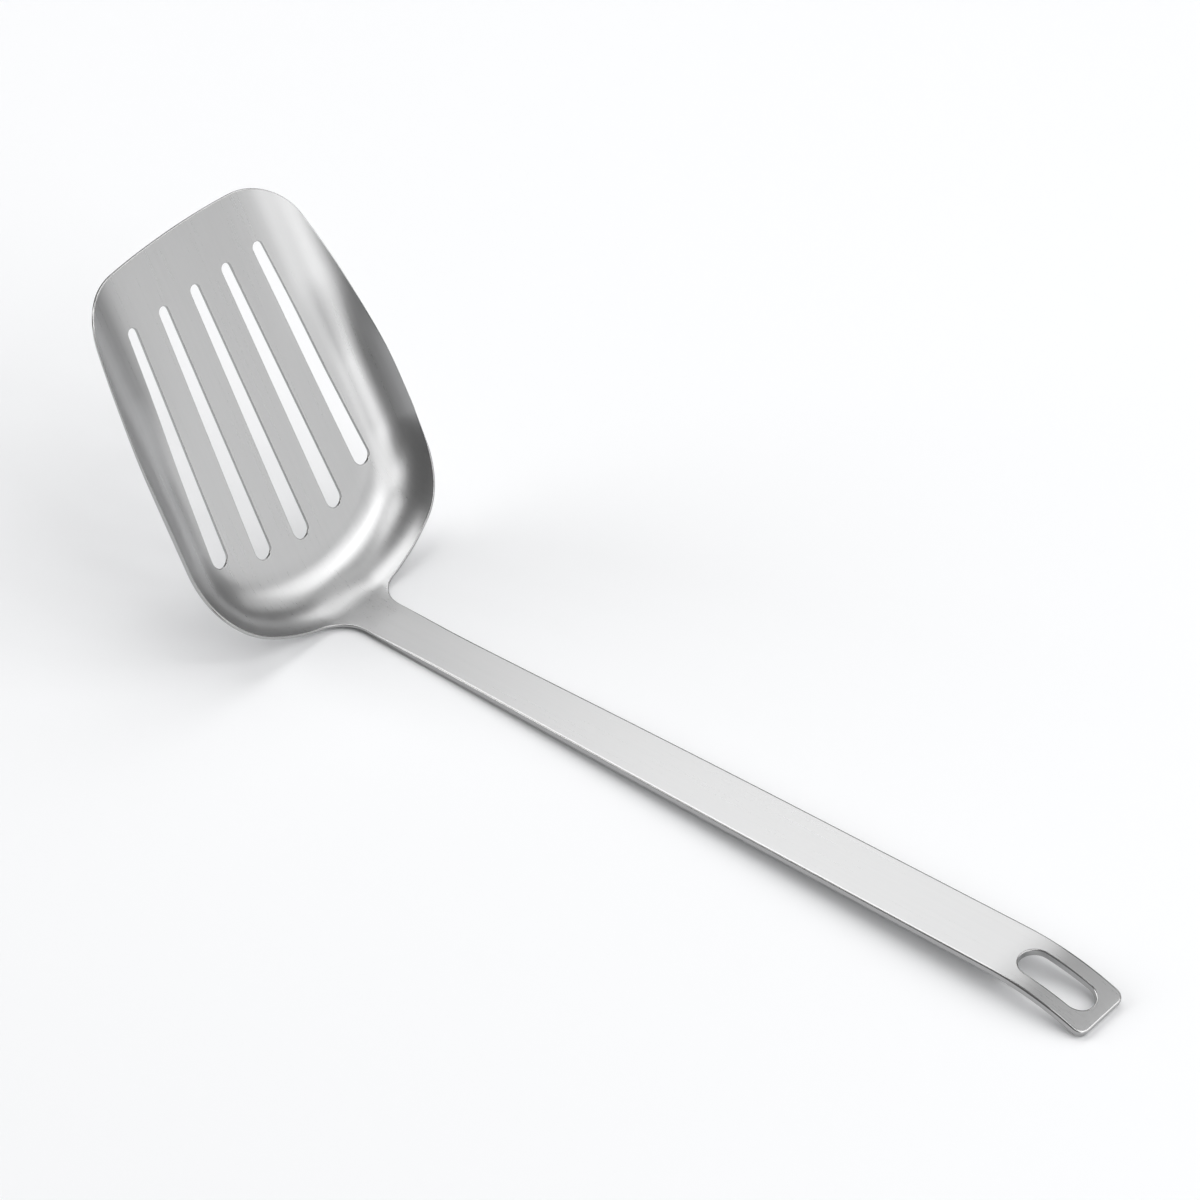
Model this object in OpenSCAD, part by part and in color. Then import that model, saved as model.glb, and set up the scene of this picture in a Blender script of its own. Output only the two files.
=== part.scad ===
// Slotted kitchen turner of stainless steel, face up as it stands on a table.
// X runs from the hanging end to the blade, Y across, Z up from the table.
// A pressed sheet blade is welded to the front end of a flat bar handle.

/* [Stock] */
// Thickness of the blade's sheet
sheet_t = 1.0; // [0.8:0.1:1.4]
// Thickness of the handle's bar
bar_t = 2.2; // [1.8:0.1:3]

/* [Blade] */
// Angle of the blade's floor above the table
floor_angle = 61; // [50:0.5:66]
// Length of the floor on the centre line, from the heel bend to the front edge
floor_l = 103.3; // [96:0.1:115]
// Width of the flat floor between the curled sides
floor_w = 62; // [56:0.5:66]
// Greatest width of the blade
blade_w = 95.5; // [91:0.1:98]
// Length from the heel bend to the widest place, along the floor
widest_l = 31.3; // [26:0.1:38]
// Inside radius of the bend that curls the sides and the heel
curl_r = 20; // [18:0.5:23]
// Plan radius of the floor's rear end
heel_plan_r = 43; // [40:0.5:50]
// Plan radius of the floor's two rear corners
corner_plan_r = 15; // [11:0.5:18]
// Plan radius of the bowed front edge
front_r = 270; // [180:5:400]
// Plan radius of the bowed sides
side_r = 265; // [220:5:400]
// Plan radius of the two front corners
front_corner_r = 19.5; // [14:0.5:24]
// Radius of the two rear shoulders, seen from above
shoulder_r = 18; // [14:0.5:22]
// Length from the heel's lowest line to the shoulders' centres
shoulder_l = 20.7; // [18:0.1:24]
// Radius of the rear edge, seen from above
rear_r = 142; // [110:1:200]

/* [Slots in the blade] */
// Number of slots, an odd number
slot_count = 5; // [3:2:5]
// Distance between the slots' centres at the front
front_pitch = 12.95; // [11.5:0.05:14]
// Distance between the slots' centres at the rear
rear_pitch = 15.05; // [13.5:0.05:16]
// Width of a slot at its front end
slot_front_w = 3.7; // [3:0.1:5]
// Width of a slot at its rear end
slot_rear_w = 6; // [5:0.1:7]
// Length of floor from the front edge to the slots
slot_front_margin = 17.2; // [12:0.1:24]
// Length of floor from the heel bend to the middle slot
slot_rear_margin = 4.8; // [3:0.1:10]
// Plan radius of the line through the slots' rear ends
slot_arc_r = 65; // [50:1:120]

/* [Neck] */
// Height of the neck's crest above the heel's upper face
neck_rise = 0.8; // [0.5:0.1:1.4]
// Length of the neck from the crest to the weld
neck_l = 5; // [4:0.5:7]
// Width of the neck
neck_w = 14.9; // [13:0.1:17]
// Radius of the fillets between the rear edge and the neck
neck_fillet_r = 9; // [6:0.5:11]

/* [Handle] */
// Length of the straight bar, from the weld to the bend
bar_l = 218.6; // [190:0.1:240]
// Length over which the bar thickens behind the weld
ramp_l = 22; // [15:0.5:35]
// Length of the narrow part of the bar
waist_l = 25; // [15:0.5:35]
// Length from the weld to the middle width
middle_l = 120; // [100:1:140]
// Width of the bar at that middle
middle_w = 18.4; // [16.5:0.1:19]
// Width of the bar at its bent end
end_w = 20; // [18:0.1:22]
// Radius of the bent end, on its upper face
end_bend_r = 82; // [70:1:95]
// Angle through which the end is bent
end_bend_angle = 23.4; // [21:0.1:26]
// Radius of the two corners of the end
end_corner_r = 3.2; // [1:0.1:4]

/* [Hanging slot] */
// Width of the hanging slot
hang_w = 9.8; // [8:0.1:12]
// Length of the hanging slot
hang_l = 24.2; // [20:0.1:26]
// Width of metal between the slot and the end
hang_web = 4.2; // [3.5:0.1:5.5]

/* [Hidden] */
$fa = 4;
$fs = 0.4;

// Overrun of cutting shapes
overrun = 1;
// Angle of the curled wall before its rim is trimmed
wall_angle = 80;
// Radius of the curl's underside
outer_r = curl_r + sheet_t;
// Place where the floor meets the heel bend, from the heel's lowest line
bend_x = curl_r * sin(floor_angle);
bend_z = outer_r - curl_r * cos(floor_angle);
front_x = bend_x + floor_l * cos(floor_angle) + sheet_t * sin(floor_angle);
front_z = bend_z + floor_l * sin(floor_angle);

// Centres of the floor's rear corners, along and across the floor
corner_w = floor_w / 2 - corner_plan_r;
corner_u = heel_plan_r - sqrt(pow(heel_plan_r - corner_plan_r, 2) - pow(corner_w, 2));
corner_turn = atan2(corner_w, heel_plan_r - corner_u);

// Shoulders, rear edge and neck fillets, seen from above
shoulder_w = blade_w / 2 - shoulder_r;
rear_x = shoulder_l + sqrt(pow(rear_r - shoulder_r, 2) - pow(shoulder_w, 2));
shoulder_turn = atan2(shoulder_w, rear_x - shoulder_l);
fillet_w = neck_w / 2 + neck_fillet_r;
fillet_x = rear_x - sqrt(pow(rear_r + neck_fillet_r, 2) - pow(fillet_w, 2));

// Crest of the neck, where the handle's upper plane meets the heel
crest_x = -sqrt(2 * curl_r * neck_rise - pow(neck_rise, 2));
crest_z = sheet_t + neck_rise;
// The rear edge of the rim lies this far ahead of the crest
rim_l = -crest_x / 2;

// The bar rises until the end's lower edge stands on the table
straight_l = neck_l + bar_l;
low_r = end_bend_r - bar_t;
low_u = straight_l + low_r * sin(end_bend_angle);
low_v = low_r * cos(end_bend_angle) - end_bend_r;
rise_angle = -asin(crest_z / norm([low_u, low_v])) - atan2(low_v, low_u);
end_u = straight_l + end_bend_r * sin(end_bend_angle);
end_v = end_bend_r * (cos(end_bend_angle) - 1);
end_x = crest_x - end_u * cos(rise_angle) + end_v * sin(rise_angle);
middle_x = (front_x + end_x) / 2;

// Angle of the hanging slot's middle along the bent end
degrees_per_length = 180 / (PI * end_bend_r);
hang_angle = end_bend_angle - (hang_web + hang_l / 2) * degrees_per_length;

// Point where circles of radii r1 about p1 and r2 about p2 meet, left of the line p1 to p2
function meeting(p1, r1, p2, r2) =
    let (d = norm(p2 - p1))
    let (along = (r1 * r1 - r2 * r2 + d * d) / (2 * d))
    let (aside = sqrt(r1 * r1 - along * along))
    let (dir = (p2 - p1) / d)
    p1 + along * dir + aside * [-dir[1], dir[0]];

// Point of a circle of radius r about c, at an angle
function rim_point(c, r, angle) = c + r * [cos(angle), sin(angle)];

// Places children in the frame of the floor: origin at the heel bend, X up the floor
module on_floor() {
    translate([bend_x, 0, bend_z])
        rotate([0, -floor_angle, 0])
            children();
}

// Places children in the frame of the handle: origin at the crest, -X along the bar
module on_neck() {
    translate([crest_x, 0, crest_z])
        rotate([0, rise_angle, 0])
            children();
}

// Section of the curled wall, from the floor outwards
module wall_section() {
    reach = 2 * outer_r;
    intersection() {
        translate([0, curl_r])
            difference() {
                circle(outer_r);
                circle(curl_r);
            }
        polygon([
            [0, curl_r],
            [0, curl_r - reach],
            [reach, curl_r - reach],
            [reach * sin(wall_angle), curl_r - reach * cos(wall_angle)]
        ]);
    }
}

// Outline of the flat floor, open to the front
module floor_plan() {
    spread = 2 * heel_plan_r;
    translate([corner_u, -floor_w / 2])
        square([floor_l - corner_u + overrun, floor_w]);
    for (side = [-1, 1])
        translate([corner_u, side * corner_w])
            circle(corner_plan_r);
    intersection() {
        translate([heel_plan_r, 0])
            circle(heel_plan_r);
        polygon([
            [heel_plan_r, 0],
            [heel_plan_r - spread * cos(corner_turn), spread * sin(corner_turn)],
            [heel_plan_r - spread * cos(corner_turn), -spread * sin(corner_turn)]
        ]);
    }
}

// Floor, curled heel and the curled wall of one side, before they are trimmed
module dish_side() {
    translate([0, 0, -sheet_t])
        linear_extrude(sheet_t)
            floor_plan();
    translate([heel_plan_r, 0, 0])
        rotate([0, 0, 180 - corner_turn])
            rotate_extrude(angle = 2 * corner_turn)
                translate([heel_plan_r, 0])
                    wall_section();
    translate([corner_u, corner_w, 0])
        rotate([0, 0, 90])
            rotate_extrude(angle = 90 - corner_turn)
                translate([corner_plan_r, 0])
                    wall_section();
    translate([corner_u, floor_w / 2, 0])
        rotate([90, 0, 90])
            linear_extrude(floor_l - corner_u + overrun)
                wall_section();
}

// Floor and curled walls of both sides
module dish() {
    union()
        dish_side();
    mirror([0, 1, 0])
        dish_side();
}

// Outline of the blade along the floor: bowed front and sides, round front corners
module blade_plan() {
    reach = floor_l;
    front_c = [floor_l - front_r, 0];
    side_c = [widest_l, blade_w / 2 - side_r];
    round_c = meeting(front_c, front_r - front_corner_r, side_c, side_r - front_corner_r);
    to_front = (round_c - front_c) / norm(round_c - front_c) * reach;
    to_side = (round_c - side_c) / norm(round_c - side_c) * reach;
    translate([-reach, -blade_w / 2])
        square([reach + widest_l, blade_w]);
    difference() {
        intersection() {
            translate([widest_l, -blade_w / 2])
                square([floor_l, blade_w]);
            translate(front_c)
                circle(front_r);
            translate(side_c)
                circle(side_r);
            mirror([0, 1])
                translate(side_c)
                    circle(side_r);
        }
        for (side = [0, 1])
            mirror([0, side])
                difference() {
                    polygon([
                        round_c,
                        round_c + to_front,
                        round_c + to_front + to_side,
                        round_c + to_side
                    ]);
                    translate(round_c)
                        circle(front_corner_r);
                }
    }
}

// Outline of the blade from above: shoulders, rear edge, neck and its fillets
module rear_plan() {
    spread = 2 * rear_r;
    rear_c = [rear_x, 0];
    translate([shoulder_l, -blade_w / 2])
        square([front_x - shoulder_l + overrun, blade_w]);
    for (side = [-1, 1])
        translate([shoulder_l, side * shoulder_w])
            circle(shoulder_r);
    intersection() {
        translate(rear_c)
            circle(rear_r);
        polygon([
            rear_c,
            [rear_x - spread * cos(shoulder_turn), spread * sin(shoulder_turn)],
            [rear_x - spread * cos(shoulder_turn), -spread * sin(shoulder_turn)]
        ]);
    }
    difference() {
        polygon([
            [fillet_x, -fillet_w],
            rear_c,
            [fillet_x, fillet_w]
        ]);
        for (side = [-1, 1])
            translate([fillet_x, side * fillet_w])
                circle(neck_fillet_r);
    }
    translate([crest_x - 2 * neck_l, -neck_w / 2])
        square([2 * neck_l - crest_x, neck_w]);
}

// Long tapered slots, fanned a little towards the heel
module blade_slots() {
    front_r = slot_front_w / 2;
    rear_r = slot_rear_w / 2;
    last = (slot_count - 1) / 2;
    for (i = [-last:last]) {
        rear_w = i * rear_pitch;
        sag = slot_arc_r - sqrt(pow(slot_arc_r, 2) - pow(rear_w, 2));
        front_c = [floor_l - slot_front_margin - front_r, i * front_pitch];
        rear_c = [slot_rear_margin + sag + rear_r, rear_w];
        run = front_c - rear_c;
        lean = asin((rear_r - front_r) / norm(run));
        heading = atan2(run[1], run[0]);
        right = heading - 90 + lean;
        left = heading + 90 - lean;
        translate([0, 0, -sheet_t - overrun])
            linear_extrude(sheet_t + 2 * overrun) {
                translate(front_c)
                    circle(front_r);
                translate(rear_c)
                    circle(rear_r);
                polygon([
                    rim_point(rear_c, rear_r, right),
                    rim_point(front_c, front_r, right),
                    rim_point(front_c, front_r, left),
                    rim_point(rear_c, rear_r, left)
                ]);
            }
    }
}

// Pressed sheet blade with its slots and the flat tab that takes the weld
module blade() {
    height = front_z + outer_r;
    color([0.74, 0.75, 0.75])
        translate([-middle_x, 0, 0])
            difference() {
                intersection() {
                    union() {
                        difference() {
                            on_floor()
                                dish();
                            on_neck()
                                translate([-floor_l, -fillet_w, 0])
                                    cube([floor_l + rim_l, 2 * fillet_w, floor_l]);
                        }
                        on_neck()
                            translate([-neck_l, -fillet_w, -sheet_t])
                                cube([neck_l, 2 * fillet_w, sheet_t]);
                    }
                    on_floor()
                        translate([0, 0, -floor_l])
                            linear_extrude(2 * floor_l)
                                blade_plan();
                    translate([0, 0, -overrun])
                        linear_extrude(height)
                            rear_plan();
                }
                on_floor()
                    blade_slots();
            }
}

// Side view of the bar: ramp at the weld, straight run and bent end
module bar_side() {
    spread = 2 * end_bend_r;
    polygon([
        [neck_l, 0],
        [neck_l, -sheet_t],
        [neck_l + ramp_l, -bar_t],
        [straight_l, -bar_t],
        [straight_l, 0]
    ]);
    intersection() {
        translate([straight_l, -end_bend_r])
            difference() {
                circle(end_bend_r);
                circle(low_r);
            }
        polygon([
            [straight_l, -end_bend_r],
            [straight_l, spread - end_bend_r],
            [straight_l + spread * sin(end_bend_angle), spread * cos(end_bend_angle) - end_bend_r]
        ]);
    }
}

// Plan of the bar: narrow at the neck, widening to its end, round corners
module bar_plan() {
    round_u = end_u - end_corner_r;
    polygon([
        [neck_l, -neck_w / 2],
        [neck_l + waist_l, -neck_w / 2],
        [neck_l + middle_l, -middle_w / 2],
        [straight_l, -end_w / 2],
        [round_u, -end_w / 2],
        [round_u, end_w / 2],
        [straight_l, end_w / 2],
        [neck_l + middle_l, middle_w / 2],
        [neck_l + waist_l, neck_w / 2],
        [neck_l, neck_w / 2]
    ]);
    translate([round_u, end_corner_r - end_w / 2])
        square([end_corner_r, end_w - 2 * end_corner_r]);
    for (side = [-1, 1])
        translate([round_u, side * (end_w / 2 - end_corner_r)])
            circle(end_corner_r);
}

// Oblong hanging slot, square to the bent end at its middle
module hanging_slot() {
    centre_l = hang_l - hang_w;
    depth = 2 * end_bend_r * (1 - cos(end_bend_angle)) + bar_t;
    translate([-straight_l, 0, -end_bend_r])
        rotate([0, -hang_angle, 0])
            translate([0, 0, end_bend_r - depth / 2]) {
                for (side = [-1, 1])
                    translate([side * centre_l / 2, 0, 0])
                        cylinder(h = depth, d = hang_w);
                translate([-centre_l / 2, -hang_w / 2, 0])
                    cube([centre_l, hang_w, depth]);
            }
}

// Flat bar handle with its bent, slotted end
module handle() {
    deep = end_bend_r + bar_t;
    color([0.70, 0.71, 0.71])
        translate([-middle_x, 0, 0])
            on_neck()
                difference() {
                    intersection() {
                        rotate([90, 0, 180])
                            linear_extrude(2 * end_w, center = true)
                                bar_side();
                        rotate([0, 0, 180])
                            linear_extrude(2 * deep, center = true)
                                bar_plan();
                    }
                    hanging_slot();
                }
}

blade();
handle();
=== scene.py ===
import bpy
import math
import numpy as np
from mathutils import Matrix, Vector
from mathutils.geometry import delaunay_2d_cdt


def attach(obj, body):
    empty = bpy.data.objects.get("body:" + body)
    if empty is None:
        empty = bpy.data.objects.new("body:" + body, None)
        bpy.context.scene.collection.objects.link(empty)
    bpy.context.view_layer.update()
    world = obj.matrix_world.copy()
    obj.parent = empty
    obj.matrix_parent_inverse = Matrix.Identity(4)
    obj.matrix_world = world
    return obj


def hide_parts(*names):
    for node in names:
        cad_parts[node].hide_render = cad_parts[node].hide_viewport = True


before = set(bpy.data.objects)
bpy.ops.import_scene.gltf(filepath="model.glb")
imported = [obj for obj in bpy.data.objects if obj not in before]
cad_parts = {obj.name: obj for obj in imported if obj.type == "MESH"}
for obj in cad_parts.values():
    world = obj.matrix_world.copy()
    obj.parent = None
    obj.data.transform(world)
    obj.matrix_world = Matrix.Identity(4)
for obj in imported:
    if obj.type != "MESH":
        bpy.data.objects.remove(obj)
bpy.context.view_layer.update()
mm = 0.001

# Blade, in millimetres and degrees
blade = {
    "sheet": 1.0,
    "floorAngle": 61,  # above the table
    "floorLength": 103.3,
    "floorWidth": 62,  # the flat part, between the curled sides
    "width": 95.5,
    "widest": 31.3,  # how far up the floor the blade is widest
    "curlRadius": 20,
    "heelPlanRadius": 43,
    "cornerPlanRadius": 15,
    "frontRadius": 270,
    "sideRadius": 265,
    "sideOverrun": 5,  # the sides run on past the floor's rear end before they are cut
    "frontCornerRadius": 19.5,
    "shoulderRadius": 18,
    "shoulderLength": 20.7,
    "rearRadius": 142,
    "neckRise": 0.8,
    "neckLength": 5,
    "neckWidth": 14.9,
    "neckFilletRadius": 9,
    "rearEase": 4,  # half the length over which the curl sets in
    "mostCurl": 1.6,  # radians, more than any side turns
    "frontCurlRadius": 34,  # the sides open out towards the front
    "frontEase": 10,
    "frontEarly": 5,  # how much sooner the front's curl begins
    "frontCurlFrom": 40,  # how far up the floor the sides begin to open out
    "frontCurlRun": 30,
    "neckEase": 7.5,  # length over which the heel eases into the neck
    "neckFill": 14,  # the heel's middle rises to the neck's line over this length
    "neckFillEase": 0.6,  # height over which that rise sets in, across the neck
    "neckCurlTo": 18,  # the heel stops turning at the neck's direction up to here, on each side
    "neckCurlRun": 8,
    "cutFade": 9,  # length behind the shoulders over which the cut edge turns square to the sheet
    "mostCutTurn": 1.2,  # radians of curl up to which the trim is followed
    "edgeRound": 0.36,
    "slotEdgeRound": 0.2,
    "pointSpacing": 1.5,
    "edgeSpacing": 0.8,
}
slots = {
    "count": 5,
    "frontPitch": 12.95,
    "rearPitch": 15.05,
    "frontWidth": 3.7,
    "rearWidth": 6,
    "frontMargin": 17.2,
    "rearMargin": 4.8,
    "arcRadius": 65,  # the rear ends lie on an arc
    "edgeSpacing": 0.6,
}
handle = {
    "bar": 2.2,
    "straight": 218.6,
    "ramp": 22,  # length over which the bar thickens behind the weld
    "bendRadius": 82,
    "bendAngle": 23.4,
    "endCornerRadius": 3.2,
    # distance from the weld and half width there, read from the photograph
    "halfWidths": [
        (0, 7.45), (24, 7.46), (48, 7.86), (75, 8.42), (100, 8.87),
        (125, 9.23), (160, 9.55), (195, 9.82), (225, 10), (260, 10),
    ],
    "hangWidth": 9.8,
    "hangLength": 24.2,
    "hangWeb": 4.2,
    "edgeRound": 0.75,
    "hangEdgeRound": 0.5,
    "pointSpacing": 1.6,
    "edgeSpacing": 0.8,
    "hangEdgeSpacing": 0.56,
}
# How finely outlines are drawn and sheets are filled with points
fineness = {
    "bladeOutline": 3,  # the blade's outline is first drawn this much finer than its points
    "outline": 0.2,
    "corner": 0.1,
    "side": 0.3,
    "row": 0.866,  # from row to row, as a share of the points' spacing
    "clear": 0.55,  # kept free round each point of an edge, as the same share
    "weldPoints": 14,
    "bendSteps": 4,  # in each of the two bends of a rounded edge
    "samePlace": 1e-7,
}

# Heights and lengths that follow from the values above
bendAngle = math.radians(blade["floorAngle"])
curl = blade["curlRadius"]
bendX = curl * math.sin(bendAngle)
bendZ = curl + blade["sheet"] - curl * math.cos(bendAngle)
frontX = bendX + blade["floorLength"] * math.cos(bendAngle) + blade["sheet"] * math.sin(bendAngle)
cornerV = blade["floorWidth"] / 2 - blade["cornerPlanRadius"]
cornerReach = blade["heelPlanRadius"] - blade["cornerPlanRadius"]
cornerU = blade["heelPlanRadius"] - math.sqrt(cornerReach ** 2 - cornerV ** 2)
cornerTurn = math.atan2(cornerV, blade["heelPlanRadius"] - cornerU)
shoulderY = blade["width"] / 2 - blade["shoulderRadius"]
shoulderReach = blade["rearRadius"] - blade["shoulderRadius"]
rearX = blade["shoulderLength"] + math.sqrt(shoulderReach ** 2 - shoulderY ** 2)
filletY = blade["neckWidth"] / 2 + blade["neckFilletRadius"]
filletX = rearX - math.sqrt((blade["rearRadius"] + blade["neckFilletRadius"]) ** 2 - filletY ** 2)
crestX = -math.sqrt(2 * curl * blade["neckRise"] - blade["neckRise"] ** 2)
crestZ = blade["sheet"] + blade["neckRise"]
straightEnd = blade["neckLength"] + handle["straight"]
endBend = math.radians(handle["bendAngle"])
lowRadius = handle["bendRadius"] - handle["bar"]
lowU = straightEnd + lowRadius * math.sin(endBend)
lowV = lowRadius * math.cos(endBend) - handle["bendRadius"]
rise = -math.asin(crestZ / math.hypot(lowU, lowV)) - math.atan2(lowV, lowU)
weldX = crestX - blade["neckLength"] * math.cos(rise)
endU = straightEnd + handle["bendRadius"] * math.sin(endBend)
endV = handle["bendRadius"] * (math.cos(endBend) - 1)
endX = crestX - endU * math.cos(rise) + endV * math.sin(rise)
middleX = (frontX + endX) / 2


def footing(points):
    # nearest place on the edge of the flat floor, the way out from it and the distance along the sheet
    u, v = points[:, 0], points[:, 1]
    side = np.where(v < 0, -1.0, 1.0)
    aside = np.abs(v)
    footU, footV = u.copy(), np.full_like(u, blade["floorWidth"] / 2)
    outU, outV = np.zeros_like(u), np.ones_like(u)
    distance = aside - blade["floorWidth"] / 2
    rear = u < cornerU
    heel = rear & (np.arctan2(aside, blade["heelPlanRadius"] - u) <= cornerTurn)
    rounds = (
        (heel, (blade["heelPlanRadius"], 0.0), blade["heelPlanRadius"]),
        (rear & ~heel, (cornerU, cornerV), blade["cornerPlanRadius"]),
    )
    for mask, centre, radius in rounds:
        du, dv = u[mask] - centre[0], aside[mask] - centre[1]
        length = np.maximum(np.hypot(du, dv), fineness["samePlace"])
        outU[mask], outV[mask] = du / length, dv / length
        distance[mask] = length - radius
        footU[mask], footV[mask] = centre[0] + radius * outU[mask], centre[1] + radius * outV[mask]
    return np.stack([footU, footV * side], 1), np.stack([outU, outV * side], 1), distance


def smooth(share):
    # 0 up to share 0, 1 from share 1, with an easy start and end
    share = np.clip(share, 0, 1)
    return share * share * (3 - 2 * share)


def curlProfile(radius, ease, early, mostTurn):
    # section of a curl, from the flat floor out; its curvature grows over twice the ease
    farthest, steps = 75, 6000
    at = np.linspace(-ease, farthest, steps)
    turn = np.where(at < ease, (at + ease) ** 2 / (4 * ease * radius), at / radius).clip(0, mostTurn)
    step = at[1] - at[0]
    out = np.concatenate([[0], np.cumsum((np.cos(turn[1:]) + np.cos(turn[:-1])) * step / 2)]) - ease
    height = np.concatenate([[0], np.cumsum((np.sin(turn[1:]) + np.sin(turn[:-1])) * step / 2)])
    return at - early, out - early, height


fullTurn = bendAngle + rise  # from the floor's direction to the neck's
rearCurl = curlProfile(curl, blade["rearEase"], 0, blade["mostCurl"])
neckCurl = curlProfile(curl, blade["rearEase"], 0, fullTurn)
frontCurl = curlProfile(
    blade["frontCurlRadius"], blade["frontEase"], blade["frontEarly"], blade["mostCurl"]
)
fullReach = np.interp(curl * fullTurn, neckCurl[0], neckCurl[1])
fullLift = np.interp(curl * fullTurn, neckCurl[0], neckCurl[2])


def curled(foot, distance):
    # distance out from the floor's edge and height over the floor, at a distance along the sheet
    front = smooth((foot[:, 0] - blade["frontCurlFrom"]) / blade["frontCurlRun"])
    neck = smooth((blade["neckCurlTo"] - np.abs(foot[:, 1])) / blade["neckCurlRun"])
    parts = ((rearCurl, (1 - front) * (1 - neck)), (neckCurl, (1 - front) * neck), (frontCurl, front))
    reach, lift = 0, 0
    for (at, out, height), part in parts:
        reach = reach + part * np.where(distance < at[0], distance, np.interp(distance, at, out))
        lift = lift + part * np.interp(distance, at, height)
    return reach, lift


def stoodUp(plan, lift):
    # from places and heights over the flat floor to the standing blade
    x = bendX + plan[:, 0] * math.cos(bendAngle) - lift * math.sin(bendAngle)
    return x, bendZ + plan[:, 0] * math.sin(bendAngle) + lift * math.cos(bendAngle)


def neckLine(x):
    # height of the neck's and the bar's upper face
    return crestZ + (crestX - x) * math.tan(rise)


def bladeTop(points):
    # flat pattern of the blade to its upper face: floor, curl, then the neck
    foot, out, distance = footing(points)
    reach, lift = curled(foot, distance)
    plan = points + out * (reach - distance)[:, None]
    x, z = stoodUp(plan, lift)
    # where the curl has made its full turn below the neck's line, the heel is raised to it
    fullX, fullZ = stoodUp(foot + out * fullReach, fullLift)
    ease = blade["neckFillEase"]
    fill = np.maximum(neckLine(fullX) - fullZ + ease, 0) ** 2 / (4 * ease)
    z = z + fill * smooth((distance - curl * fullTurn) / blade["neckFill"] + 1)
    z = z + (neckLine(x) - z) * smooth((np.minimum(fullX, 0) - x) / blade["neckEase"])
    return np.stack([x - middleX, plan[:, 1], z], 1)


def beneath(points):
    # the press trims the rim square to the floor, so the lower face ends right below the upper
    foot, out, distance = footing(points)
    turn = np.clip(distance, 0, curl * blade["mostCutTurn"]) / curl
    lower = curl * np.arcsin(np.sin(turn) * curl / (curl + blade["sheet"]))
    x = bladeTop(points)[:, 0] + middleX
    keep = smooth((x - blade["shoulderLength"] + blade["cutFade"]) / blade["cutFade"])
    return points - out * ((turn * curl - lower) * keep)[:, None]


def handleTop(points):
    # flat pattern of the bar to its upper face: straight from the weld, then the bent end
    along = points[:, 0] + blade["neckLength"]
    turn = np.maximum(along - straightEnd, 0) / handle["bendRadius"]
    u = np.where(turn > 0, straightEnd + handle["bendRadius"] * np.sin(turn), along)
    v = handle["bendRadius"] * (np.cos(turn) - 1)
    x = crestX - u * math.cos(rise) + v * math.sin(rise)
    z = crestZ + u * math.sin(rise) + v * math.cos(rise)
    return np.stack([x - middleX, points[:, 1], z], 1)


def normalsOf(surface, points):
    step = 0.02
    du = surface(points + [step, 0]) - surface(points - [step, 0])
    dv = surface(points + [0, step]) - surface(points - [0, step])
    normal = np.cross(du, dv)
    normal /= np.linalg.norm(normal, axis=1)[:, None]
    return normal * np.where(normal[:, 2:3] < 0, -1, 1)


def arc(centre, radius, start, end, spacing):
    count = max(2, int(abs(math.radians(end - start)) * radius / spacing))
    angles = np.radians(np.linspace(start, end, count + 1))
    return np.stack([centre[0] + radius * np.cos(angles), centre[1] + radius * np.sin(angles)], 1)


def line(a, b, spacing):
    count = max(1, int(math.dist(a, b) / spacing))
    return np.linspace(a, b, count + 1)


def evenly(points, spacing, closed=False):
    # the same line with its points at an even spacing
    if closed:
        points = np.vstack([points, points[:1]])
    lengths = np.concatenate([[0], np.cumsum(np.linalg.norm(np.diff(points, axis=0), axis=1))])
    keep = np.concatenate([[True], np.diff(lengths) > fineness["samePlace"]])
    points, lengths = points[keep], lengths[keep]
    count = max(3, int(round(lengths[-1] / spacing)))
    at = np.linspace(0, lengths[-1], count + 1)
    placed = np.stack([np.interp(at, lengths, points[:, k]) for k in (0, 1)], 1)
    return placed[:-1] if closed else placed


def meeting(a, radiusA, b, radiusB):
    # where two circles cross
    apart = math.dist(a, b)
    along = (radiusA * radiusA - radiusB * radiusB + apart * apart) / (2 * apart)
    aside = math.sqrt(radiusA * radiusA - along * along)
    dx, dy = (b[0] - a[0]) / apart, (b[1] - a[1]) / apart
    return (a[0] + along * dx - aside * dy, a[1] + along * dy + aside * dx)


def degreesTo(centre, point):
    return math.degrees(math.atan2(point[1] - centre[1], point[0] - centre[0]))


def flatten(plan):
    # from a place seen square to the floor to its place on the flat pattern
    rounds, pace = 40, 0.8
    foot, out, wanted = footing(plan)
    distance = wanted.copy()
    for _ in range(rounds):
        distance += (wanted - curled(foot, distance)[0]) * pace
    return plan + out * (distance - wanted)[:, None]


def follow(targets, start):
    # from places seen from above the table to the flat pattern, one after the other
    tries, nudge, near, mostStep = 12, 0.01, 1e-6, 3
    found, guess = [], np.array(start, float)
    for target in targets:
        for _ in range(tries):
            trial = np.array([guess, guess + [nudge, 0], guess + [0, nudge]])
            at = bladeTop(trial)[:, :2]
            error = at[0] - target
            if np.abs(error).max() < near:
                break
            jacobian = np.stack([(at[1] - at[0]) / nudge, (at[2] - at[0]) / nudge], 1)
            guess = guess - np.clip(np.linalg.solve(jacobian, error), -mostStep, mostStep)
        found.append(guess.copy())
    return np.array(found)


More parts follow.
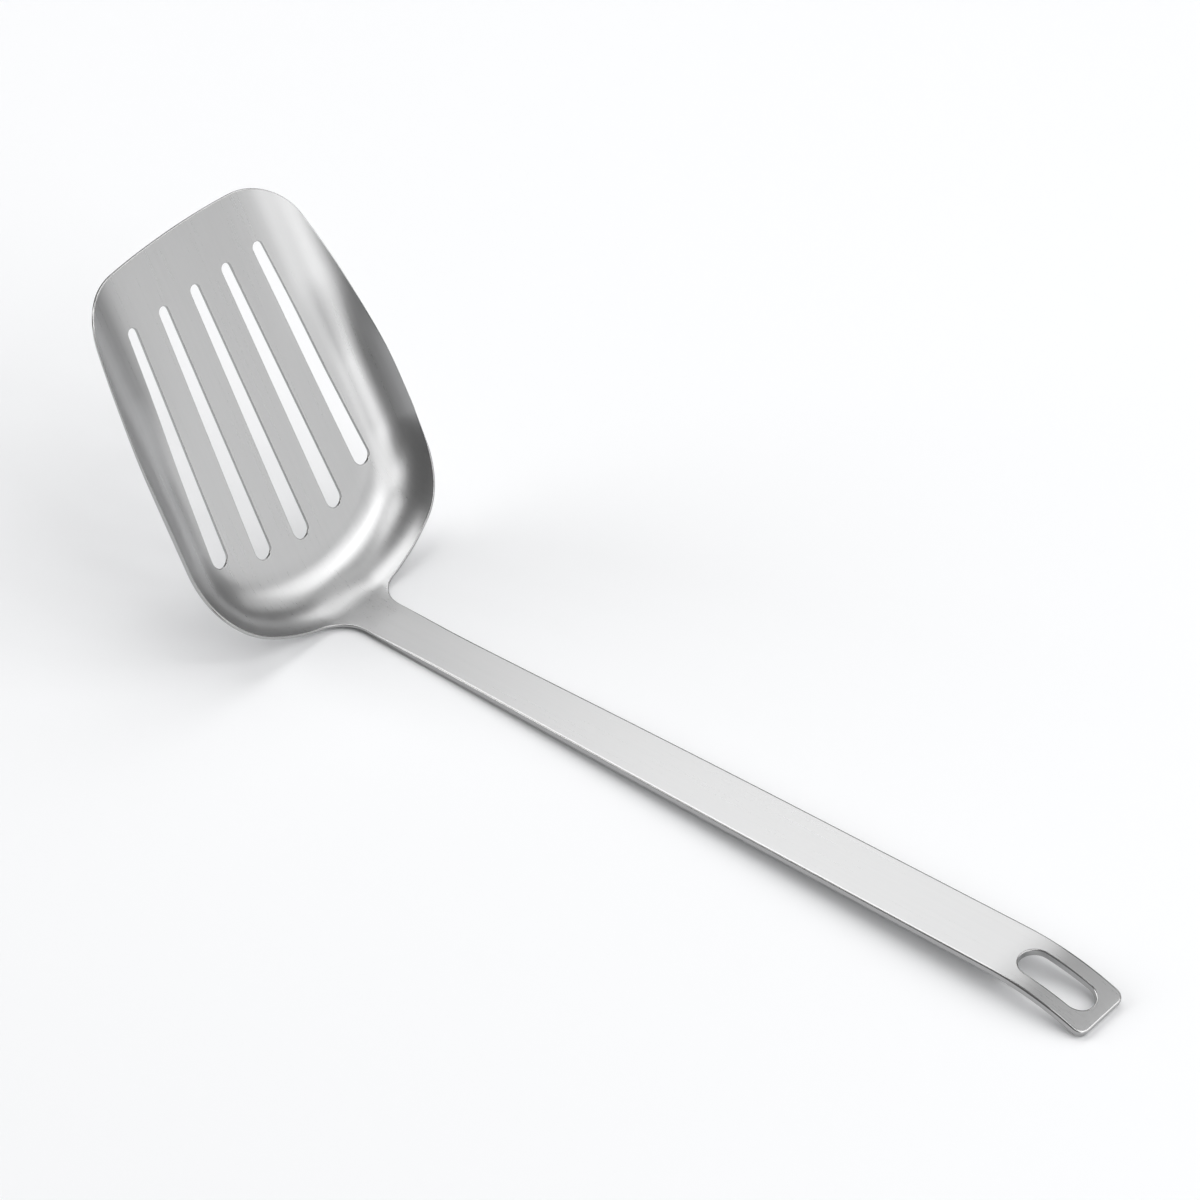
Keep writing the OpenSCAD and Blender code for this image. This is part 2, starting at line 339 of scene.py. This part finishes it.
def bladeOutline():
    # half of the rim, from the middle of the front to the weld, on the flat pattern
    spacing = blade["edgeSpacing"] / fineness["bladeOutline"]
    edge = blade["width"] / 2
    front = (blade["floorLength"] - blade["frontRadius"], 0)
    side = (blade["widest"], edge - blade["sideRadius"])
    radius = blade["frontCornerRadius"]
    corner = meeting(front, blade["frontRadius"] - radius, side, blade["sideRadius"] - radius)
    half = flatten(np.vstack([
        arc(front, blade["frontRadius"], 0, degreesTo(front, corner), spacing),
        arc(corner, radius, degreesTo(front, corner), degreesTo(side, corner), spacing),
        arc(side, blade["sideRadius"], degreesTo(side, corner), 90, spacing),
        line((blade["widest"], edge), (-blade["sideOverrun"], edge), spacing),
    ]))
    onTable = bladeTop(half)[:, 0] + middleX
    half = half[: np.argmax((onTable < blade["shoulderLength"]) & (half[:, 1] > blade["floorWidth"] / 2))]
    shoulder, rear, fillet = (blade["shoulderLength"], shoulderY), (rearX, 0), (filletX, filletY)
    turnAt, touchAt = degreesTo(rear, shoulder), degreesTo(rear, fillet)
    neckY = blade["neckWidth"] / 2
    above = np.vstack([
        arc(shoulder, blade["shoulderRadius"], 90, turnAt, spacing),
        arc(rear, blade["rearRadius"], turnAt, touchAt, spacing),
        arc(fillet, blade["neckFilletRadius"], touchAt - 180, -90, spacing),
        line((filletX, neckY), (weldX, neckY), spacing),
    ])
    above = evenly(above - [middleX, 0], spacing)
    return evenly(np.vstack([half, follow(above, half[-1])]), blade["edgeSpacing"])


def slotOutline(i):
    # slot i from the middle one, on the flat pattern
    frontRadius, rearRadius = slots["frontWidth"] / 2, slots["rearWidth"] / 2
    rearY = i * slots["rearPitch"]
    sag = slots["arcRadius"] - math.sqrt(slots["arcRadius"] ** 2 - rearY ** 2)
    front = np.array([blade["floorLength"] - slots["frontMargin"] - frontRadius, i * slots["frontPitch"]])
    rear = np.array([slots["rearMargin"] + sag + rearRadius, rearY])
    lean = math.degrees(math.asin((rearRadius - frontRadius) / np.linalg.norm(front - rear)))
    heading = degreesTo(rear, front)
    left, right = heading + 90 - lean, heading - 90 + lean
    ends = np.vstack([
        arc(front, frontRadius, right, left, fineness["outline"]),
        arc(rear, rearRadius, left, right + 360, fineness["outline"]),
    ])
    return flatten(evenly(ends, slots["edgeSpacing"], closed=True))


def inward(points, closed):
    # unit vectors across a line of points, to the left of its run
    ahead, behind = np.roll(points, -1, 0), np.roll(points, 1, 0)
    if not closed:
        ahead[-1], behind[0] = points[-1], points[0]
    run = ahead - behind
    run /= np.linalg.norm(run, axis=1)[:, None]
    return np.stack([-run[:, 1], run[:, 0]], 1)


def insideOf(points, loop):
    x, y = points[:, 0], points[:, 1]
    inside = np.zeros(len(points), bool)
    for (x1, y1), (x2, y2) in zip(loop, np.roll(loop, -1, 0)):
        if y1 != y2:
            inside ^= ((y1 > y) != (y2 > y)) & (x < (x2 - x1) * (y - y1) / (y2 - y1) + x1)
    return inside


def farFrom(points, loop, gap):
    clear = np.ones(len(points), bool)
    for place in loop:
        clear &= (np.abs(points - place) > gap).any(1)
    return clear


def lowerFace(surface, points, thickness):
    up = normalsOf(surface, points)
    return surface(points) - up * thickness(points)[:, None], -up


def filled(border, holes, spacing):
    # the flat pattern's points, the border's and the holes' first, and the triangles between them
    low, high = border.min(0), border.max(0)
    rows = []
    for row, v in enumerate(np.arange(low[1], high[1], spacing * fineness["row"])):
        u = np.arange(low[0] + (row % 2) * spacing / 2, high[0], spacing)
        rows.append(np.stack([u, np.full_like(u, v)], 1))
    grid = np.vstack(rows)
    grid = grid[insideOf(grid, border)]
    for loop in [border] + holes:
        grid = grid[farFrom(grid, loop, spacing * fineness["clear"])]
    for loop in holes:
        grid = grid[~insideOf(grid, loop)]
    flat = np.vstack([border] + holes + [grid])
    edges, at = [], 0
    for loop in [border] + holes:
        edges += [(at + k, at + (k + 1) % len(loop)) for k in range(len(loop))]
        at += len(loop)
    found = delaunay_2d_cdt([Vector(place) for place in flat], edges, [], 1, fineness["samePlace"])
    assert len(found[0]) == len(flat), "the flat pattern has points too close together"
    faces = np.array([face for face in found[2] if len(face) == 3])
    for loop in holes:
        faces = faces[~insideOf(flat[faces].mean(1), loop)]
    a, b, c = flat[faces[:, 0]], flat[faces[:, 1]], flat[faces[:, 2]]
    turned = (b[:, 0] - a[:, 0]) * (c[:, 1] - a[:, 1]) - (b[:, 1] - a[:, 1]) * (c[:, 0] - a[:, 0]) < 0
    faces[turned] = faces[turned][:, ::-1]
    return flat, faces


def roundedEdge(upper, corner, lowCorner, lower, up, radius, closed):
    # rows of points and normals that round the edge between the upper and the lower face
    wall = lowCorner - corner
    wall /= np.linalg.norm(wall, axis=1)[:, None]
    along = np.roll(corner, -1, 0) - np.roll(corner, 1, 0)
    if not closed:
        along[0], along[-1] = corner[1] - corner[0], corner[-1] - corner[-2]
    facing = np.cross(along, corner - upper)
    facing = np.where((facing * up).sum(1) < 0, -1, 1)[:, None]
    steps = fineness["bendSteps"]
    bends = [
        (upper, corner, corner + wall * radius, range(1, steps + 1)),
        (lowCorner - wall * radius, lowCorner, lower, range(steps)),
    ]
    for a, b, c, places in bends:
        for k in places:
            t = k / steps
            normal = np.cross(along, (b - a) * (1 - t) + (c - b) * t) * facing
            place = a * (1 - t) ** 2 + b * (2 * t * (1 - t)) + c * t * t
            yield place, normal / np.linalg.norm(normal, axis=1)[:, None]


def looksAway(a, b, c, out):
    # whether the face through the three points looks away from the given way out
    return np.cross(b - a, c - a) @ out < 0


def sheetPiece(name, surface, under, rim, weld, holes, thickness, rimRound, holeRound, spacing):
    # A bent sheet from its flat pattern: two faces, rounded edges and a flat end at the weld.
    # The rim runs round the pattern from one corner of the weld to the other, metal on its left.
    loops = [(rim, inward(rim, False), rimRound, False)]
    loops += [(hole, -inward(hole, True), holeRound, True) for hole in holes]
    insets = [loop + across * rounding(loop)[:, None] for loop, across, rounding, _ in loops]
    flat, faces = filled(np.vstack([insets[0], weld]), insets[1:], spacing)

    top, up = surface(flat), normalsOf(surface, flat)
    low, down = lowerFace(surface, under(flat), thickness)
    verts, norms = [top, low], [up, down]
    polys = [tuple(face) for face in faces] + [tuple(face[::-1] + len(flat)) for face in faces]
    if looksAway(*top[faces[0]], up[faces[0][0]]):
        polys = [poly[::-1] for poly in polys]
    total, start = 2 * len(flat), 0
    for loop, _, rounding, closed in loops:
        count = len(loop)
        span = slice(start, start + count)
        corner, lowCorner = surface(loop), lowerFace(surface, under(loop), thickness)[0]
        rows = [np.arange(start, start + count)]
        radius = rounding(loop)[:, None]
        for place, normal in roundedEdge(top[span], corner, lowCorner, low[span], up[span], radius, closed):
            verts.append(place)
            norms.append(normal)
            rows.append(np.arange(total, total + count))
            total += count
        rows.append(rows[0] + len(flat))
        for above, below in zip(rows, rows[1:]):
            for j in range(count if closed else count - 1):
                k = (j + 1) % count
                quad = (above[j], below[j], below[k], above[k])
                polys.append(quad[::-1] if closed else quad)
        if not closed:
            weldEnds = [[row[0] for row in rows], [row[-1] for row in rows]]
        start += count if closed else count + len(weld)
    verts, norms = np.vstack(verts), np.vstack(norms)
    # edge strips are wound to face away from the metal
    quad = polys[2 * len(faces)]
    if looksAway(*verts[list(quad[:3])], norms[quad[1]]):
        polys = [poly if len(poly) == 3 else poly[::-1] for poly in polys]
    capTop = [weldEnds[1][0]] + list(range(len(rim), len(rim) + len(weld))) + [weldEnds[0][0]]
    capLow = [i + len(flat) for i in capTop]
    polys.append(tuple(capTop + weldEnds[0][1:-1] + capLow[::-1] + weldEnds[1][1:-1][::-1]))
    return makePiece(name, verts, norms, polys, 2 * len(faces))


def makePiece(name, verts, norms, polys, broadFaces):
    # the broad faces come first, then those of the rounded edges, and the weld's flat end last
    mesh = bpy.data.meshes.new(name)
    mesh.from_pydata((verts * mm).tolist(), [], [tuple(int(i) for i in poly) for poly in polys])
    mesh.polygons.foreach_set("use_smooth", [True] * len(polys))
    # the second material is for the rounded edges, whose darker colour is painted shade for a dark outline
    onEdge = [int(broadFaces <= i < len(polys) - 1) for i in range(len(polys))]
    mesh.polygons.foreach_set("material_index", onEdge)
    cap = mesh.polygons[len(polys) - 1]
    cap.use_smooth = False
    loopNormals = norms[[loop.vertex_index for loop in mesh.loops]]
    for i in cap.loop_indices:
        loopNormals[i] = cap.normal
    mesh.normals_split_custom_set(loopNormals.tolist())
    piece = bpy.data.objects.new(mesh.name, mesh)
    bpy.context.scene.collection.objects.link(piece)
    print("made", mesh.name, len(mesh.vertices), "points")
    return piece


def mirrored(half):
    # the whole rim from its half, from one corner of the weld round to the other
    other = half[1:] * [1, -1]
    return np.vstack([other[::-1], half])


def constant(value):
    # the same value all over the pattern
    return lambda points: np.full(len(points), float(value))


bladeRim = mirrored(bladeOutline())
weldShares = np.linspace(1, -1, fineness["weldPoints"])[1:-1, None]
weldAcross = weldShares * (blade["neckWidth"] / 2 - blade["edgeRound"])
bladeWeld = follow(np.hstack([np.full_like(weldAcross, weldX - middleX), weldAcross]), bladeRim[-1])
handleWeld = np.hstack([np.zeros_like(weldAcross), weldAcross])
last = slots["count"] // 2
bladePiece = sheetPiece(
    "bladeSheet", bladeTop, beneath, bladeRim, bladeWeld,
    [slotOutline(i) for i in range(-last, last + 1)],
    constant(blade["sheet"]), constant(blade["edgeRound"]), constant(blade["slotEdgeRound"]),
    blade["pointSpacing"],
)


def smoothThrough(knots, at):
    # smooth curve through the knots, level at both ends
    x, y = np.array(knots, float).T
    slope = np.gradient(y, x)
    slope[0] = slope[-1] = 0
    k = np.clip(np.searchsorted(x, at) - 1, 0, len(x) - 2)
    width = x[k + 1] - x[k]
    t = np.clip((at - x[k]) / width, 0, 1)
    near = y[k] * (1 + 2 * t) * (1 - t) ** 2 + slope[k] * width * t * (1 - t) ** 2
    return near + y[k + 1] * t * t * (3 - 2 * t) + slope[k + 1] * width * t * t * (t - 1)


barLength = handle["straight"] + handle["bendRadius"] * endBend  # along the sheet, from the weld


def handleOutline():
    # half of the bar's rim, from the middle of the end to the weld
    radius = handle["endCornerRadius"]
    wide = handle["halfWidths"][-1][1]
    along = np.arange(barLength - radius, 0, -fineness["side"])
    half = np.vstack([
        line((barLength, 0), (barLength, wide - radius), fineness["outline"]),
        arc((barLength - radius, wide - radius), radius, 0, 90, fineness["corner"]),
        np.stack([along, smoothThrough(handle["halfWidths"], along)], 1),
        [[0, handle["halfWidths"][0][1]]],
    ])
    return evenly(half, handle["edgeSpacing"])


def hangOutline():
    # the oblong hanging slot
    radius = handle["hangWidth"] / 2
    middle = barLength - handle["hangWeb"] - handle["hangLength"] / 2
    reach = handle["hangLength"] / 2 - radius
    ends = np.vstack([
        arc((middle + reach, 0), radius, -90, 90, fineness["outline"]),
        arc((middle - reach, 0), radius, 90, 270, fineness["outline"]),
    ])
    return evenly(ends, handle["hangEdgeSpacing"], closed=True)


def ramp(low, high):
    # value that grows over the thickening behind the weld
    return lambda points: low + (high - low) * smooth(points[:, 0] / handle["ramp"])


handlePiece = sheetPiece(
    "handleBar", handleTop, lambda points: points, mirrored(handleOutline()), handleWeld, [hangOutline()],
    ramp(blade["sheet"], handle["bar"]), ramp(blade["edgeRound"], handle["edgeRound"]),
    constant(handle["hangEdgeRound"]), handle["pointSpacing"],
)


class Wire:
    # a socket that can be used in Python sums
    def __init__(self, graph, socket):
        self.graph, self.socket = graph, socket

    def sum(self, operation, *values):
        return self.graph.node("ShaderNodeMath", {"operation": operation}, dict(enumerate(values)))

    def __add__(self, other):
        return self.sum("ADD", self, other)

    def __radd__(self, other):
        return self.sum("ADD", other, self)

    def __sub__(self, other):
        return self.sum("SUBTRACT", self, other)

    def __rsub__(self, other):
        return self.sum("SUBTRACT", other, self)

    def __mul__(self, other):
        return self.sum("MULTIPLY", self, other)

    def __rmul__(self, other):
        return self.sum("MULTIPLY", other, self)


class Graph:
    def __init__(self, tree):
        self.tree = tree

    def node(self, kind, settings=None, values=None, output=0):
        made = self.tree.nodes.new(kind)
        for key, value in (settings or {}).items():
            setattr(made, key, value)
        for key, value in (values or {}).items():
            if isinstance(value, Wire):
                self.tree.links.new(value.socket, made.inputs[key])
            else:
                made.inputs[key].default_value = value
        return Wire(self, made.outputs[output]) if made.outputs else None


def emptyGraph(owner):
    # of a material or a world, with its first nodes taken out
    owner.use_nodes = True
    owner.node_tree.nodes.clear()
    return Graph(owner.node_tree)


# Brushed stainless steel: grain runs along the piece, tilted with the blade's floor
steel = {
    "blade": {"tilt": blade["floorAngle"], "color": (0.452, 0.453, 0.455), "roughness": 0.29, "grain": 1},
    "handle": {"tilt": 0, "color": (0.452, 0.453, 0.455), "roughness": 0.29, "grain": 1},
    # the edges' darker colour is painted shade, a dark outline line; their lower roughness and fainter
    # grain are their own polish
    "bladeEdge": {"tilt": blade["floorAngle"], "color": (0.4, 0.4, 0.4), "roughness": 0.17, "grain": 0.4},
    "handleEdge": {"tilt": 0, "color": (0.4, 0.4, 0.4), "roughness": 0.17, "grain": 0.4},
    "shades": (0.9, 1.1),  # the steel's colour between its dim and its pale places
    "bumpStrength": 0.015,
    "bumpHeight": 0.0001,  # metres
}
# Size in metres along the piece, across it and through it, and how much each one shows
marks = {
    "grain": {"size": (0.03, 0.00016, 0.0009), "detail": 3, "roughness": 0.06, "shade": 0.25},
    "streaks": {"size": (0.07, 0.0011, 0.004), "detail": 3, "roughness": 0.05, "shade": 0.35},
    "speckle": {"size": (0.0006, 0.0006, 0.0006), "detail": 2, "roughness": 0.015, "shade": 0.075},
    "smudges": {"size": (0.05, 0.012, 0.02), "detail": 4, "roughness": 0.04, "shade": 0.25},
}


def brushedSteel(name, look):
    material = bpy.data.materials.new(name)
    g = emptyGraph(material)
    place = g.node("ShaderNodeTexCoord", output="Object")

    def noise(mark):
        turn = (0, -math.radians(look["tilt"]), 0)
        values = {"Vector": place, "Rotation": turn, "Scale": mark["size"]}
        stretched = g.node("ShaderNodeMapping", {"vector_type": "TEXTURE"}, values)
        values = {"Vector": stretched, "Scale": 1, "Detail": mark["detail"]}
        return g.node("ShaderNodeTexNoise", {"noise_dimensions": "3D"}, values) - 0.5

    noises = {kind: noise(mark) for kind, mark in marks.items()}

    def varied(what):
        # the brushing shows less on the smoother edges, the smudges show alike
        grain, streaks, speckle, smudges = (noises[kind] * mark[what] for kind, mark in marks.items())
        return (grain + streaks + speckle) * look["grain"] + smudges

    dim, pale = ((*(level * share for level in look["color"]), 1) for share in steel["shades"])
    shades = {0: 0.5 + varied("shade"), 6: dim, 7: pale}
    tone = g.node("ShaderNodeMix", {"data_type": "RGBA"}, shades, output=2)
    relief = {"Height": noises["grain"], "Strength": steel["bumpStrength"], "Distance": steel["bumpHeight"]}
    shader = g.node("ShaderNodeBsdfPrincipled", {}, {
        "Metallic": 1,
        "Base Color": tone,
        "Roughness": look["roughness"] + varied("roughness"),
        "Normal": g.node("ShaderNodeBump", {}, relief),
    })
    g.node("ShaderNodeOutputMaterial", {}, {"Surface": shader})
    return material


pieces = ((bladePiece, "blade", "blade_steel"), (handlePiece, "handle", "handle_steel"))
for piece, node, slotName in pieces:
    piece.data.materials.append(brushedSteel(node + "Steel", steel[node]))
    piece.data.materials.append(brushedSteel(node + "Edge", steel[node + "Edge"]))
    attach(piece, "root")
    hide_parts(node)
print("steel on both pieces")

# Camera, from the part's own lines in the photograph
camera = {
    "pixels": 1200,  # the image's width
    "focal": 6300,  # pixels
    "sensor": 36,  # millimetres
    "sees": (0.05, 20),  # metres, nearest and farthest
    "right": (-0.77132, -0.63644, 0.00586),
    "down": (-0.41758, 0.49905, -0.75936),
    "ahead": (0.48036, -0.58812, -0.65069),
    "origin": (5.908, 42.678, 1744.73),  # the frame's origin seen from the camera
}


def placeCamera():
    lens = bpy.data.cameras.new("photoCamera")
    lens.sensor_width = camera["sensor"]
    lens.lens = camera["focal"] * camera["sensor"] / camera["pixels"]
    lens.clip_start, lens.clip_end = camera["sees"]
    right, down, ahead = (Vector(camera[way]).normalized() for way in ("right", "down", "ahead"))
    at = -(right * camera["origin"][0] + down * camera["origin"][1] + ahead * camera["origin"][2]) * mm
    pose = Matrix([right, -down, -ahead]).transposed().to_4x4()
    pose.translation = at
    holder = bpy.data.objects.new("photoCamera", lens)
    holder.matrix_world = pose
    bpy.context.scene.collection.objects.link(holder)
    bpy.context.scene.camera = holder
    print("camera at", [round(v, 4) for v in at])


placeCamera()

# Pale table, and soft boxes where the satin steel mirrors them to the camera
studio = {
    "tableSize": 3.0,
    "tableColor": (0.885, 0.89, 0.90, 1),
    "tableRoughness": 0.7,
    "tableGloss": 0.2,
    "room": 0.185,
    "boxes": [
        # name, place, width and height, brightness
        ("floorCard", (-0.92, -0.80, 0.22), (0.5, 0.42), 1.0),
        ("sideCard", (-1.23, -0.46, 0.23), (0.48, 0.44), 1.1),
        ("wallCard", (-1.26, 0.30, 0.28), (0.5, 0.42), 1.4),
        ("heelBox", (-1.39, -1.41, 1.47), (1.15, 1.15), 2.15),
        ("heelTop", (-0.73, -0.43, 1.05), (0.48, 0.44), 2.0),
        ("leftBox", (-1.25, 0.0, 0.86), (1.0, 1.25), 1.6),
        ("leftTop", (-0.73, 0.43, 1.05), (0.48, 0.44), 1.4),
        ("overhead", (-0.40, 0.0, 1.30), (0.48, 0.44), 2.1),
        ("backCard", (-0.34, -1.11, 0.70), (0.48, 0.44), 0.9),
        ("gapCard", (-0.15, -0.75, 1.60), (0.6, 1.1), 0.75),
        ("handleBox", (0.44, -0.80, 0.86), (0.58, 0.5), 1.85),
        ("topBox", (0.85, -0.30, 1.5), (1.1, 1.0), 2.4),
        ("nearFill", (1.5, 0.95, 0.9), (1.3, 1.1), 3.8),
    ],
    "aim": (0.02, 0, 0.02),
}


def makeTable():
    half = studio["tableSize"] / 2
    mesh = bpy.data.meshes.new("tableTop")
    corners = [(-half, -half, 0), (half, -half, 0), (half, half, 0), (-half, half, 0)]
    mesh.from_pydata(corners, [], [(0, 1, 2, 3)])
    table = bpy.data.objects.new("tableTop", mesh)
    bpy.context.scene.collection.objects.link(table)
    material = bpy.data.materials.new("paleTable")
    g = emptyGraph(material)
    shader = g.node("ShaderNodeBsdfPrincipled", {}, {
        "Base Color": studio["tableColor"],
        "Roughness": studio["tableRoughness"],
        "Specular IOR Level": studio["tableGloss"],
    })
    g.node("ShaderNodeOutputMaterial", {}, {"Surface": shader})
    mesh.materials.append(material)
    print("table laid")


def lightStudio():
    scene = bpy.context.scene
    scene.world = bpy.data.worlds.new("softRoom")
    g = emptyGraph(scene.world)
    room = g.node("ShaderNodeBackground", {}, {"Color": (1, 1, 1, 1), "Strength": studio["room"]})
    g.node("ShaderNodeOutputWorld", {}, {"Surface": room})
    for name, place, size, brightness in studio["boxes"]:
        light = bpy.data.lights.new(name, "AREA")
        light.shape = "RECTANGLE"
        light.size, light.size_y = size
        # the power goes with the area, so a wider box looks as bright
        light.energy = brightness * math.pi * size[0] * size[1]
        box = bpy.data.objects.new(name, light)
        box.location = place
        away = Vector(place) - Vector(studio["aim"])
        box.rotation_euler = away.to_track_quat("Z", "Y").to_euler()
        scene.collection.objects.link(box)
    scene.view_settings.view_transform = "Standard"
    print("studio lit with", len(studio["boxes"]), "soft boxes")


makeTable()
lightStudio()
